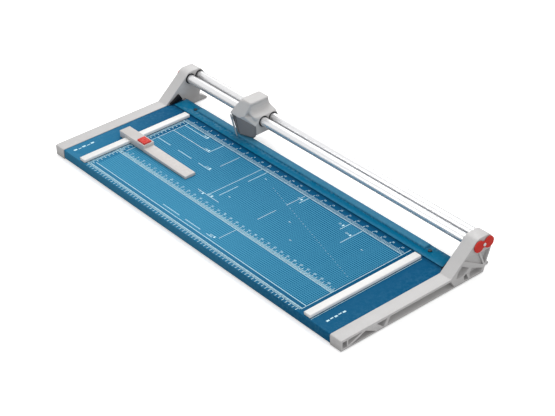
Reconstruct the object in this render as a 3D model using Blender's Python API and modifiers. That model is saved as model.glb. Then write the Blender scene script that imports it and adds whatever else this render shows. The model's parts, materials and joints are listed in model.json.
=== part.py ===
"""Rotary paper trimmer: a printed steel table between two cast end frames, with a cutting head
that slides on two round rails behind the table and rolls a disc blade along a fixed knife.

Lengths are measured from the front face of the end frames (y), from their soles (z) and from
the middle of the table (x). One empty carries everything to the row's own origin.
"""
import math

import bmesh
import bpy
from mathutils import Matrix, Vector

mm = 0.001
gap = 0.3 * mm

# driving sizes
length_over_frames = 936.4 * mm
frame_width = 30.0 * mm
overall_depth = 390.5 * mm
foot_height = 2.0 * mm
cut_length = 720.0 * mm
table_top = 22.4 * mm
sheet_thickness = 1.5 * mm
cut_line = 330.0 * mm
rail_radius = 10.3 * mm
rail_bore = 8.6 * mm
rail_height = 66.0 * mm
front_rail_y = 347.6 * mm
rear_rail_y = 374.0 * mm
head_x = -208.0 * mm
blade_radius = 28.0 * mm
blade_thickness = 1.0 * mm
blade_overlap = 4.0 * mm

# sizes worked out from them
half_length = length_over_frames / 2
inner_face = half_length - frame_width
sheet_under = table_top - sheet_thickness
blade_height = table_top + blade_radius - blade_overlap
rails = {"front": front_rail_y, "rear": rear_rail_y}
sides = {"left": -1, "right": 1}

# end frame
web_thickness = 4.0 * mm
arm_outline = [(276, 23.4), (336.5, 74.0), (341.5, 79.6), (348.5, 82.8), (371.0, 82.8), (378.5, 80.5),
               (382.8, 75.0), (383.6, 68.0), (382.0, 49.0), (367.0, 12.0), (362.5, 0)]
full_depth = frame_width - web_thickness
# each pocket in the outer face: its depth and its outline, in millimetres
pockets = {
    "hole": (full_depth, [(4, 4.5), (4, 18.5), (15, 18.5), (15, 4.5)]),
    "ramp": (7 * mm, [(17.5, 6), (17.5, 18.5), (53, 18.5)]),
    "second": (16 * mm, [(60, 17), (85, 3.2), (23, 3.2)]),
    "third": (full_depth, [(88, 17.5), (113.5, 18), (104, 3.2)]),
    "long": (full_depth, [(113, 3), (121, 18.4), (276, 18.4), (285, 3)]),
    "arm": (13 * mm, [(290, 17), (295, 31), (304, 40.5), (324, 28), (308.5, 16.5)]),
    "heel": (13 * mm, [(331, 24.5), (360.5, 11), (356, 4), (326.5, 4), (325, 14)]),
    "triangle": (full_depth, [(310.5, 14), (316.5, 18.5), (322, 4), (311.5, 4)]),
    "web": (5 * mm, [(310, 49.5), (325, 54), (350, 49.5), (362.5, 17.5)]),
    "heel_web": (8 * mm, [(353.5, 49.5), (379, 49), (366, 18.5)]),
}
toe_outline = [(360.5, 0), (390.5, 0), (390.0, 4.5), (368, 17.5), (360.5, 21)]
toe_width = 17.0 * mm
ledge_width = 8.0 * mm
ledge_thickness = 3.0 * mm

# table, knife and the beam that carries it
sheet_front = 1.4 * mm
lip_bottom = 1.5 * mm
lip_radius = 1.8 * mm
knife_front = 320.0 * mm
knife_bottom = 15.4 * mm
beam_front = 292.0 * mm
beam_back = 328.0 * mm
beam_bottom = 3.0 * mm
beam_wall = 2.5 * mm

# stop bars and backstop
stop_width = 17.6 * mm
stop_height = 7.0 * mm
stop_front = 4.4 * mm
stop_back = 284.5 * mm
backstop_y = 137.0 * mm
backstop_depth = 27.0 * mm
backstop_top = 38.0 * mm
block_left = -400.0 * mm
block_right = -309.5 * mm
arm_tip = -161.0 * mm
arm_base_height = 30.6 * mm
arm_tip_height = 28.6 * mm
button_size = (26.0 * mm, 19.5 * mm)
button_x = -325.5 * mm
button_top = 41.0 * mm

# clamp strip
strip_front = 292.0 * mm
strip_back = 328.0 * mm
strip_bottom = table_top + 1.2 * mm
strip_thickness = 1.2 * mm
strip_half = 428.0 * mm
rib_front = 309.0 * mm
rib_back = 324.5 * mm
rib_top = 30.0 * mm
rib_half = 363.0 * mm
post_x = 375.0 * mm
post_y = 311.5 * mm

# cutting head, measured from its own centre
head_half = 33.0 * mm
grip_sections = [(68, 31.5, 327.5, 387.4, 6), (76, 32.4, 326.5, 387, 6), (80.5, 31, 325.6, 386, 6),
                 (83, 26.5, 325.2, 385, 6), (85, 21.5, 325, 384.2, 6), (88, 17, 324.6, 383, 5.5),
                 (93, 14.6, 324.8, 381.8, 5), (101, 14.2, 325.2, 380.3, 5), (105, 16.2, 325.8, 379.5, 5),
                 (107.5, 17.2, 327, 378.6, 5), (109.4, 16.2, 328.2, 377.6, 4.5), (110, 14.8, 329.6, 376.2, 4)]
head_front = 311.5 * mm
bush_radius = 12.3 * mm
guard_y = 307.9 * mm
guard_thickness = 1.4 * mm
roller_radius = 6.0 * mm
roller_front = 317.7 * mm
roller_back = 323.4 * mm
roller_centre = rib_top + gap + roller_radius

material_table = {
    "frame_grey": ((0.64, 0.63, 0.61), 0.45, 0.0),
    "table_blue": ((0.05, 0.25, 0.40), 0.35, 0.1),
    "ground_steel": ((0.55, 0.56, 0.58), 0.22, 1.0),
    "zinc_steel": ((0.45, 0.46, 0.48), 0.35, 1.0),
    "rail_chrome": ((0.82, 0.83, 0.85), 0.12, 1.0),
    "stop_white": ((0.88, 0.88, 0.86), 0.40, 0.0),
    "backstop_grey": ((0.74, 0.72, 0.70), 0.40, 0.0),
    "signal_red": ((0.70, 0.07, 0.05), 0.35, 0.0),
    "clear_blue": ((0.10, 0.40, 0.60), 0.08, 0.0),
    "head_grey": ((0.45, 0.45, 0.45), 0.50, 0.0),
    "cover_grey": ((0.16, 0.16, 0.18), 0.50, 0.0),
    "black_plastic": ((0.02, 0.02, 0.02), 0.50, 0.0),
    "rubber": ((0.03, 0.03, 0.03), 0.80, 0.0),
}


def clear_scene():
    for old in list(bpy.data.objects):
        bpy.data.objects.remove(old, do_unlink=True)


def new_collection(name):
    collection = bpy.data.collections.new(name)
    bpy.context.scene.collection.children.link(collection)
    return collection


def make_materials():
    for name, (colour, roughness, metallic) in material_table.items():
        material = bpy.data.materials.new(name)
        material.use_nodes = True
        shader = material.node_tree.nodes["Principled BSDF"]
        shader.inputs["Base Color"].default_value = (*colour, 1.0)
        shader.inputs["Roughness"].default_value = roughness
        shader.inputs["Metallic"].default_value = metallic


def place(obj, location=(0, 0, 0), turn=None):
    """Set an object's place in the trimmer's own measures."""
    obj.parent = origin
    basis = turn if turn is not None else Matrix.Identity(3)
    obj.matrix_basis = Matrix.Translation(location) @ basis.to_4x4()
    return obj


def finish(obj, material, bevel=0.0, segments=1):
    """Put a solid in the trimmer's collection with its material and rounded edges."""
    parts.objects.link(obj)
    obj.data.materials.clear()
    obj.data.materials.append(bpy.data.materials[material])
    if bevel:
        modifier = obj.modifiers.new("edges", "BEVEL")
        modifier.width = bevel
        modifier.segments = segments
        modifier.limit_method = "ANGLE"
        modifier.angle_limit = math.radians(40)
    obj.data.shade_smooth()
    obj.data.set_sharp_from_angle(angle=math.radians(32))
    return obj


def as_cutter(obj):
    cutters.objects.link(obj)
    obj.hide_render = True
    obj.display_type = "WIRE"
    return obj


def cut(obj, *tools, operation="DIFFERENCE"):
    for tool in tools:
        modifier = obj.modifiers.new(tool.name, "BOOLEAN")
        modifier.operation = operation
        modifier.object = tool
    return obj


# a flat outline stands in one of these planes: its own z axis becomes the extrusion
along_x = Matrix(((0, 0, 1), (1, 0, 0), (0, 1, 0)))
along_y = Matrix(((1, 0, 0), (0, 0, -1), (0, 1, 0)))
along_z = Matrix.Identity(3)


def extrusion(name, outlines, thickness, location, turn):
    """A mesh made from flat outlines, given a thickness centred on their plane."""
    curve = bpy.data.curves.new(name, "CURVE")
    curve.dimensions = "2D"
    curve.fill_mode = "BOTH"
    curve.extrude = thickness / 2
    for outline in outlines:
        spline = curve.splines.new("POLY")
        spline.points.add(len(outline) - 1)
        for point, (u, v) in zip(spline.points, outline):
            point.co = (u, v, 0, 1)
        spline.use_cyclic_u = True
    return place(bpy.data.objects.new(name, mesh_of(curve)), location, turn)


def mesh_of(curve):
    """The closed surface of a curve, as a mesh."""
    holder = bpy.data.objects.new(curve.name, curve)
    bpy.context.scene.collection.objects.link(holder)
    depsgraph = bpy.context.evaluated_depsgraph_get()
    mesh = bpy.data.meshes.new_from_object(holder.evaluated_get(depsgraph))
    bpy.data.objects.remove(holder, do_unlink=True)
    weld(mesh)
    return mesh


def weld(mesh):
    work = bmesh.new()
    work.from_mesh(mesh)
    bmesh.ops.remove_doubles(work, verts=work.verts, dist=0.00001)
    bmesh.ops.recalc_face_normals(work, faces=work.faces)
    work.to_mesh(mesh)
    work.free()


def box(name, low, high):
    low, high = Vector(low), Vector(high)
    work = bmesh.new()
    bmesh.ops.create_cube(work, size=1.0)
    bmesh.ops.scale(work, vec=high - low, verts=work.verts)
    mesh = bpy.data.meshes.new(name)
    work.to_mesh(mesh)
    work.free()
    return place(bpy.data.objects.new(name, mesh), (low + high) / 2)


def rod(name, start, end, radius, sides_count=32):
    """A round bar between two points."""
    start, end = Vector(start), Vector(end)
    work = bmesh.new()
    bmesh.ops.create_cone(work, cap_ends=True, segments=sides_count, radius1=radius, radius2=radius,
                          depth=(end - start).length)
    mesh = bpy.data.meshes.new(name)
    work.to_mesh(mesh)
    work.free()
    turn = (end - start).to_track_quat("Z", "Y").to_matrix()
    return place(bpy.data.objects.new(name, mesh), (start + end) / 2, turn)


def turned(name, profile, location, axis, steps=32, closed=False):
    """A profile of (radius, height) points, outer side from top to bottom, turned about an axis."""
    mesh = bpy.data.meshes.new(name)
    edges = [(i, i + 1) for i in range(len(profile) - 1)]
    if closed:
        edges.append((len(profile) - 1, 0))
    mesh.from_pydata([(r, 0, h) for r, h in profile], edges, [])
    turn = Vector(axis).to_track_quat("Z", "Y").to_matrix()
    obj = place(bpy.data.objects.new(name, mesh), location, turn)
    modifier = obj.modifiers.new("turn", "SCREW")
    modifier.steps = steps
    modifier.render_steps = steps
    modifier.use_merge_vertices = True
    modifier.merge_threshold = 0.00001
    return obj


def hull(name, points):
    """The solid with flat faces stretched over a set of corners."""
    work = bmesh.new()
    for point in points:
        work.verts.new(point)
    bmesh.ops.convex_hull(work, input=work.verts)
    bmesh.ops.recalc_face_normals(work, faces=work.faces)
    mesh = bpy.data.meshes.new(name)
    work.to_mesh(mesh)
    work.free()
    return place(bpy.data.objects.new(name, mesh))


def loft(name, sections):
    """A solid skinned over rounded rectangles: (height, half width, front, rear, corner radius)."""
    work = bmesh.new()
    rings = []
    for height, half, front, rear, radius in sections:
        outline = rounded_box((-half * mm, front * mm), (half * mm, rear * mm), radius * mm)
        ring = [work.verts.new((head_x + x, y, height * mm)) for x, y in outline]
        rings.append([work.edges.new(pair) for pair in zip(ring, ring[1:] + ring[:1])])
    for lower, upper in zip(rings, rings[1:]):
        bmesh.ops.bridge_loops(work, edges=lower + upper)
    bmesh.ops.holes_fill(work, edges=work.edges)
    bmesh.ops.recalc_face_normals(work, faces=work.faces)
    mesh = bpy.data.meshes.new(name)
    work.to_mesh(mesh)
    work.free()
    return place(bpy.data.objects.new(name, mesh))


def scaled(outline):
    return [(u * mm, v * mm) for u, v in outline]


def rounded_box(low, high, radius, steps=4):
    """A rectangle's outline with round corners."""
    (u0, v0), (u1, v1) = low, high
    corners = [(u1 - radius, v1 - radius, 0), (u0 + radius, v1 - radius, 90),
               (u0 + radius, v0 + radius, 180), (u1 - radius, v0 + radius, 270)]
    outline = []
    for u, v, start in corners:
        for step in range(steps + 1):
            angle = math.radians(start + 90 * step / steps)
            outline.append((u + radius * math.cos(angle), v + radius * math.sin(angle)))
    return outline


def screw_profile(head_radius, head_height, shank_radius, shank_length):
    return [(0, head_height), (head_radius * 0.8, head_height), (head_radius, head_height * 0.6),
            (head_radius, 0), (shank_radius, 0), (shank_radius, -shank_length), (0, -shank_length)]


def slotted(screw, head_radius, head_height, location, axis):
    """Cut a driver slot across a screw's head."""
    turn = Vector(axis).to_track_quat("Z", "Y").to_matrix()
    slot = box(screw.name + "_slot", (-head_radius * 1.2, -0.5 * mm, head_height * 0.45),
               (head_radius * 1.2, 0.5 * mm, head_height * 1.5))
    centre = Vector(location) + turn @ Vector((0, 0, head_height * 0.975))
    place(slot, centre, turn)
    return cut(screw, as_cutter(slot))


def end_frame(name, side):
    outline = scaled([(0, 0), (0, 20.4), (1.2, 22.6), (3.2, 23.4)]) + scaled(arm_outline)
    middle = side * (half_length - frame_width / 2)
    frame = extrusion(name, [outline], frame_width, (middle, 0, 0), along_x)
    for y in foot_places:
        cut(frame, as_cutter(rod(f"{name}_foot_hole_{round(y / mm)}", (middle, y, -1 * mm),
                                 (middle, y, 2.9 * mm), 2.9 * mm, 20)))
    for label, (depth, outline) in pockets.items():
        centre = side * (half_length - depth / 2 + 1 * mm)
        tool = extrusion(f"{name}_{label}", [scaled(outline)], depth + 2 * mm, (centre, 0, 0), along_x)
        cut(frame, as_cutter(tool))
    toe = extrusion(f"{name}_toe", [scaled(toe_outline)], toe_width,
                    (side * (inner_face + toe_width / 2), 0, 0), along_x)
    ledge_top = sheet_under - gap
    ledge_x = sorted((side * (inner_face + web_thickness / 2), side * (inner_face - ledge_width)))
    ledge = box(f"{name}_ledge", (ledge_x[0], 14 * mm, ledge_top - ledge_thickness),
                (ledge_x[1], 270 * mm, ledge_top))
    cut(frame, as_cutter(toe), as_cutter(ledge), operation="UNION")
    far = side * (half_length + 5 * mm)
    near = side * (inner_face - 5 * mm)
    for label, y in rails.items():
        hole = rod(f"{name}_{label}_hole", (near, y, rail_height), (far, y, rail_height), rail_radius + 1.4 * mm)
        cut(frame, as_cutter(hole))
    middle_y = (front_rail_y + rear_rail_y) / 2
    cut(frame, as_cutter(rod(f"{name}_cap_hole", (side * (half_length - 16 * mm), middle_y, rail_height),
                             (far, middle_y, rail_height), 2.3 * mm, 16)))
    for y in table_screw_places:
        x = side * (inner_face - ledge_width / 2)
        cut(frame, as_cutter(rod(f"{name}_screw_hole_{round(y / mm)}", (x, y, 10 * mm), (x, y, 30 * mm),
                                 1.8 * mm, 16)))
    cut(frame, as_cutter(rod(f"{name}_beam_hole", (near, beam_screw_y, beam_screw_z),
                             (side * (inner_face + 12 * mm), beam_screw_y, beam_screw_z), 2.3 * mm, 16)))
    return finish(frame, "frame_grey")


def rail(name, y):
    tube = rod(name, (-half_length, y, rail_height), (half_length, y, rail_height), rail_radius, 40)
    bore = rod(f"{name}_bore", (-half_length - 1 * mm, y, rail_height), (half_length + 1 * mm, y, rail_height),
               rail_bore, 24)
    return finish(cut(tube, as_cutter(bore)), "rail_chrome")


def rail_bush(name, side, y):
    """A flanged bush that carries a rail in an end frame."""
    inner, outer, flange = rail_radius + 0.2 * mm, rail_radius + 1.1 * mm, bush_radius
    profile = [(outer, 14 * mm), (outer, -gap), (flange, -gap), (flange, -1.6 * mm), (inner, -1.6 * mm),
               (inner, 14 * mm)]
    bush = turned(name, profile, (side * inner_face, y, rail_height), (side, 0, 0), 32, closed=True)
    return finish(bush, "black_plastic")


def end_cap(name, side):
    """A plate shaped like a figure eight that closes both rails' ends."""
    lobe, waist = 12.6 * mm, 7.0 * mm
    opening = math.degrees(math.asin(waist / lobe))
    outline = []
    for y, start in ((rear_rail_y, -180 + opening), (front_rail_y, opening)):
        for step in range(17):
            angle = math.radians(start + (360 - 2 * opening) * step / 16)
            outline.append((y + lobe * math.cos(angle), rail_height + lobe * math.sin(angle)))
    thickness = 2.6 * mm
    cap = extrusion(name, [outline], thickness, (side * (half_length + gap + thickness / 2), 0, 0), along_x)
    for label, y in rails.items():
        plug = rod(f"{name}_{label}_plug", (side * (half_length + 1 * mm), y, rail_height),
                   (side * (half_length - 7 * mm), y, rail_height), rail_bore - 0.4 * mm, 24)
        cut(cap, as_cutter(plug), operation="UNION")
    middle_y = (front_rail_y + rear_rail_y) / 2
    hole = rod(f"{name}_hole", (side * (half_length - 1 * mm), middle_y, rail_height),
               (side * (half_length + 5 * mm), middle_y, rail_height), 2.3 * mm, 16)
    return finish(cut(cap, as_cutter(hole)), "signal_red")


def cap_screw(name, side):
    radius, height = 3.6 * mm, 1.4 * mm
    place_x = side * (half_length + 2 * gap + 2.6 * mm)
    location = (place_x, (front_rail_y + rear_rail_y) / 2, rail_height)
    screw = turned(name, screw_profile(radius, height, 2.0 * mm, 17 * mm), location, (side, 0, 0), 16)
    slotted(screw, radius, height, location, (side, 0, 0))
    return finish(screw, "zinc_steel")


def foot(name, side, y):
    profile = [(0, 2.4 * mm), (2.5 * mm, 2.4 * mm), (2.5 * mm, -gap), (7 * mm, -gap),
               (7 * mm, -foot_height + 0.5 * mm), (6.4 * mm, -foot_height), (0, -foot_height)]
    return finish(turned(name, profile, (side * (half_length - frame_width / 2), y, 0), (0, 0, 1), 24), "rubber")


def upward_screw(name, x, y, seat, length, radius=3.4 * mm, material="zinc_steel"):
    """A pan head screw driven up from below; its head seats at the given height."""
    screw = turned(name, screw_profile(radius, 1.8 * mm, 1.5 * mm, length), (x, y, seat), (0, 0, -1), 16)
    return finish(screw, material)


def table_sheet():
    """The printed steel sheet: a lip folded down in front and a short fold in front of the knife."""
    back = knife_front - gap - sheet_thickness
    bend = [(sheet_front + lip_radius * (1 - math.cos(a)), table_top - lip_radius * (1 - math.sin(a)))
            for a in (math.radians(step * 22.5) for step in range(5))]
    outer = [(sheet_front, lip_bottom)] + bend + [(back + sheet_thickness, table_top),
                                                  (back + sheet_thickness, knife_bottom + gap)]
    inner = [(back, knife_bottom + gap), (back, sheet_under), (sheet_front + sheet_thickness + 0.6 * mm, sheet_under),
             (sheet_front + sheet_thickness, sheet_under - 0.6 * mm), (sheet_front + sheet_thickness, lip_bottom)]
    sheet = extrusion("table_sheet", [outer + inner], 2 * (inner_face - gap), (0, 0, 0), along_x)
    for side_name, side in sides.items():
        cut(sheet, as_cutter(rod(f"sheet_{side_name}_post_hole", (side * post_x, post_y, 15 * mm),
                                 (side * post_x, post_y, 30 * mm), 5.2 * mm, 20)))
        for y in table_screw_places:
            x = side * (inner_face - ledge_width / 2)
            cut(sheet, as_cutter(rod(f"sheet_{side_name}_hole_{round(y / mm)}", (x, y, 15 * mm),
                                     (x, y, table_top - 0.5 * mm), 1.8 * mm, 12)))
        for y in stop_screw_places:
            x = side * stop_centre
            cut(sheet, as_cutter(rod(f"sheet_{side_name}_stop_hole_{round(y / mm)}", (x, y, 15 * mm),
                                     (x, y, 30 * mm), 1.9 * mm, 12)))
    return finish(sheet, "table_blue")


def knife_bar():
    """The fixed knife: a ground steel bar whose rear top edge is the cutting edge."""
    outline = [(knife_front, knife_bottom), (knife_front, table_top), (cut_line, table_top),
               (cut_line, knife_bottom + 2 * mm), (cut_line - 1.2 * mm, knife_bottom)]
    bar = extrusion("lower_knife", [outline], 2 * (inner_face - gap), (0, 0, 0), along_x)
    for number, x in enumerate(knife_screw_places):
        cut(bar, as_cutter(rod(f"knife_hole_{number}", (x, knife_screw_y, 10 * mm),
                               (x, knife_screw_y, knife_bottom + 5 * mm), 1.9 * mm, 12)))
    return finish(bar, "ground_steel")


def rear_beam():
    """A steel channel, open below, that ties the end frames and carries the knife."""
    top = knife_bottom - gap
    outline = [(beam_front, beam_bottom), (beam_front, top), (beam_back, top), (beam_back, beam_bottom),
               (beam_back - beam_wall, beam_bottom), (beam_back - beam_wall, top - beam_wall),
               (beam_front + beam_wall, top - beam_wall), (beam_front + beam_wall, beam_bottom)]
    beam = extrusion("rear_beam", [outline], 2 * (inner_face - gap), (0, 0, 0), along_x)
    for number, x in enumerate(knife_screw_places):
        cut(beam, as_cutter(rod(f"beam_hole_{number}", (x, knife_screw_y, 10 * mm),
                                (x, knife_screw_y, 17 * mm), 1.9 * mm, 12)))
    for side_name, side in sides.items():
        cut(beam, as_cutter(rod(f"beam_{side_name}_post_hole", (side * post_x, post_y, 10 * mm),
                                (side * post_x, post_y, 17 * mm), 2.3 * mm, 12)))
        block = box(f"beam_{side_name}_block", *block_corners(side))
        screw_hole = rod(f"beam_{side_name}_end_hole", (side * (inner_face - 16 * mm), beam_screw_y, beam_screw_z),
                         (side * (inner_face + 2 * mm), beam_screw_y, beam_screw_z), 2.0 * mm, 12)
        cut(beam, as_cutter(block), operation="UNION")
        cut(beam, as_cutter(screw_hole))
    return finish(beam, "zinc_steel")


def block_corners(side):
    """The threaded block at each end of the beam."""
    x0, x1 = sorted((side * (inner_face - 12 * mm), side * (inner_face - gap)))
    return ((x0, beam_screw_y - 5 * mm, beam_screw_z - 5 * mm), (x1, beam_screw_y + 5 * mm, knife_bottom - 1.5 * mm))


def beam_screw(name, side):
    location = (side * (inner_face + web_thickness + gap), beam_screw_y, beam_screw_z)
    screw = turned(name, screw_profile(3.3 * mm, 1.8 * mm, 1.7 * mm, 15 * mm), location, (side, 0, 0), 16)
    return finish(screw, "zinc_steel")


def stop_bar(name, side):
    """A moulded bar along which sheets are squared up."""
    outline = rounded_box((-stop_width / 2, 0), (stop_width / 2, stop_height), 0.9 * mm, 2)
    middle_y = (stop_front + stop_back) / 2
    bar = extrusion(name, [outline], stop_back - stop_front, (side * stop_centre, middle_y, table_top + gap), along_y)
    for y in stop_screw_places:
        x = side * stop_centre
        cut(bar, as_cutter(rod(f"{name}_hole_{round(y / mm)}", (x, y, 20 * mm), (x, y, table_top + 5.5 * mm),
                               1.7 * mm, 12)))
    return finish(bar, "stop_white")


def clamp_strip():
    """The clear strip that holds the sheets down, with a raised rib for the head's roller."""
    plate = extrusion("clamp_strip", [rounded_box((-strip_half, strip_front), (strip_half, strip_back), 2 * mm, 3)],
                      strip_thickness, (0, 0, strip_bottom + strip_thickness / 2), along_z)
    rib_outline = [(rib_front, strip_bottom + 0.5 * mm), (rib_front, rib_top - 1.6 * mm),
                   (rib_front + 1.6 * mm, rib_top), (rib_back - 1.0 * mm, rib_top),
                   (rib_back, rib_top - 1.0 * mm), (rib_back, strip_bottom + 0.5 * mm)]
    rib = extrusion("clamp_rib", [rib_outline], 2 * rib_half, (0, 0, 0), along_x)
    cut(plate, as_cutter(rib), operation="UNION")
    for side_name, side in sides.items():
        cut(plate, as_cutter(rod(f"strip_{side_name}_hole", (side * post_x, post_y, 20 * mm),
                                 (side * post_x, post_y, 32 * mm), 2.6 * mm, 16)))
    return finish(plate, "clear_blue")


def clamp_post(name, side):
    """A headed post that guides the clamp strip up and down."""
    head_seat = strip_bottom + strip_thickness + gap
    profile = [(0, 2.2 * mm), (3.6 * mm, 2.2 * mm), (4.2 * mm, 1.6 * mm), (4.2 * mm, 0), (2.2 * mm, 0),
               (2.2 * mm, knife_bottom - head_seat), (2.0 * mm, knife_bottom - head_seat),
               (2.0 * mm, 9 * mm - head_seat), (0, 9 * mm - head_seat)]
    return finish(turned(name, profile, (side * post_x, post_y, head_seat), (0, 0, 1), 20), "zinc_steel")


def coil(name, centre, bottom, top, radius, wire, turns, material="zinc_steel"):
    """A compression spring standing on end."""
    steps = 12
    count = int(turns * steps) + 1
    low, high = bottom + wire, top - wire
    curve = bpy.data.curves.new(name, "CURVE")
    curve.dimensions = "3D"
    curve.bevel_depth = wire
    curve.bevel_resolution = 1
    curve.use_fill_caps = True
    spline = curve.splines.new("POLY")
    spline.points.add(count - 1)
    for index, point in enumerate(spline.points):
        angle = 2 * math.pi * index / steps
        height = low + (high - low) * index / (count - 1)
        point.co = (radius * math.cos(angle), radius * math.sin(angle), height, 1)
    return finish(place(bpy.data.objects.new(name, mesh_of(curve)), (centre[0], centre[1], 0)), material)


def clamp_guide(name, side):
    """A black cheek on the arm's inner face that keeps the strip's end in line."""
    outline = scaled([(284, 26), (295, 31), (311, 40.5), (318, 28), (316, 26)])
    thickness = 6.0 * mm
    x = side * (inner_face - gap - thickness / 2)
    return finish(extrusion(name, [outline], thickness, (x, 0, 0), along_x), "black_plastic")


def backstop_body():
    y0, y1 = backstop_y - backstop_depth / 2, backstop_y + backstop_depth / 2
    base = table_top + gap
    block = box("backstop", (block_left, y0, base), (block_right, y1, backstop_top))
    arm = extrusion("backstop_arm", [[(block_right - 2 * mm, base), (arm_tip, base), (arm_tip, arm_tip_height),
                                      (block_right - 2 * mm, arm_base_height)]],
                    backstop_depth - 0.6 * mm, (0, backstop_y - 1.2 * mm, 0), along_y)
    cut(block, as_cutter(arm), operation="UNION")
    channel = box("backstop_channel", (-stop_centre - stop_width / 2 - gap, y0 - 2 * mm, base - 2 * mm),
                  (-stop_centre + stop_width / 2 + gap, y1 + 2 * mm, base + stop_height + gap))
    well_x, well_y = button_size[0] / 2 + gap, button_size[1] / 2 + gap
    well = box("button_well", (button_x - well_x, backstop_y - well_y, base + 1.8 * mm),
               (button_x + well_x, backstop_y + well_y, backstop_top + 2 * mm))
    tunnel = box("shoe_tunnel", (-stop_centre + stop_width / 2 - 1 * mm, backstop_y - 5.3 * mm, base + 1.8 * mm),
                 (button_x - well_x + 1 * mm, backstop_y + 5.3 * mm, base + 6.8 * mm))
    cut(block, as_cutter(channel), as_cutter(well), as_cutter(tunnel))
    return finish(block, "backstop_grey")


def backstop_button():
    """The ribbed release button; its skirt carries the wedge that draws the shoe back."""
    half_x, half_y = button_size[0] / 2, button_size[1] / 2
    outline = rounded_box((-half_x, -half_y), (half_x, half_y), 1.0 * mm, 2)
    bottom = backstop_top - 4.5 * mm
    button = extrusion("backstop_button", [outline], button_top - bottom,
                       (button_x, backstop_y, (button_top + bottom) / 2), along_z)
    for number in range(3):
        x = button_x + (number - 1) * 7.0 * mm
        groove = rod(f"button_groove_{number}", (x, backstop_y - 15 * mm, button_top + 1.2 * mm),
                     (x, backstop_y + 15 * mm, button_top + 1.2 * mm), 2.2 * mm, 16)
        cut(button, as_cutter(groove))
    stem = box("button_stem", (button_x - 11 * mm, backstop_y - 4 * mm, bottom - 3.2 * mm),
               (button_x - 6 * mm, backstop_y + 4 * mm, bottom + 1 * mm))
    cut(button, as_cutter(stem), operation="UNION")
    return finish(button, "signal_red")


def lock_shoe():
    """The small block that grips the side of the stop bar."""
    x0 = -stop_centre + stop_width / 2 + gap
    base = table_top + gap
    shoe = box("lock_shoe", (x0, backstop_y - 5.0 * mm, base + 2.1 * mm),
               (button_x - button_size[0] / 2 + 0.8 * mm, backstop_y + 5.0 * mm, base + 6.5 * mm))
    return finish(shoe, "black_plastic", 0.4 * mm)


def head_point(x, y, z):
    return (head_x + x * mm, y * mm, z * mm)


def both(x, y, z):
    """A corner and its twin on the head's other side."""
    return [head_point(-x, y, z), head_point(x, y, z)]


def head_housing():
    """The grey housing: a waist around both rails, a front brow and a tall grip."""
    waist_outline = scaled([(326.8, 39.5), (326.8, 60), (333.5, 72.5), (341.5, 78.8), (348, 80.2), (374, 80.2),
                            (381.5, 78.4), (386.3, 73.5), (388.3, 66), (388.3, 45), (384, 39.5)])
    body = extrusion("head_housing", [waist_outline], 2 * head_half, (head_x, 0, 0), along_x)
    grip = loft("head_grip", grip_sections)
    brow = hull("head_brow", [head_point(-34.4, 309.6, 75.6), head_point(-34, 310.4, 73.3),
                              head_point(-4, 310.4, 73.3), head_point(9, 313.6, 80), head_point(11, 334, 76),
                              head_point(-30, 340, 76), head_point(-33, 330, 73.3),
                              head_point(-15.6, 325.6, 108), head_point(16.2, 328, 107.4),
                              head_point(13, 336, 90), head_point(-14, 336, 92)])
    cheek = hull("head_cheek", [head_point(-4, 311.4, 73.3), head_point(9, 314.6, 79.4),
                                head_point(33, 325.2, 61.3), head_point(33, 334, 61.3),
                                head_point(-4, 334, 73.3), head_point(33, 333.4, 72.8),
                                head_point(29, 334, 79.6), head_point(12, 334, 83.5)])
    cut(body, as_cutter(grip), as_cutter(brow), as_cutter(cheek), operation="UNION")
    for label, y in rails.items():
        bore = rod(f"head_{label}_bore", (head_x - head_half - 2 * mm, y, rail_height),
                   (head_x + head_half + 2 * mm, y, rail_height), bush_radius + gap, 32)
        cut(body, as_cutter(bore))
    room = hull("blade_room", both(30.5, 326, 38) + both(30.5, 334.3, 38) + both(30.5, 326, 56)
                + both(30.5, 334.3, 56) + both(12.5, 326, 76.6) + both(12.5, 334.3, 76.6))
    boss = rod("axle_bore", (head_x, 330 * mm, blade_height), (head_x, 352 * mm, blade_height), 4.3 * mm, 24)
    cut(body, as_cutter(room), as_cutter(boss))
    screw_hole = rod("cover_screw_hole", (head_x + cover_screw_x, 320 * mm, cover_screw_z),
                     (head_x + cover_screw_x, 334 * mm, cover_screw_z), 1.8 * mm, 12)
    cut(body, as_cutter(screw_hole))
    return finish(body, "head_grey")


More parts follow.
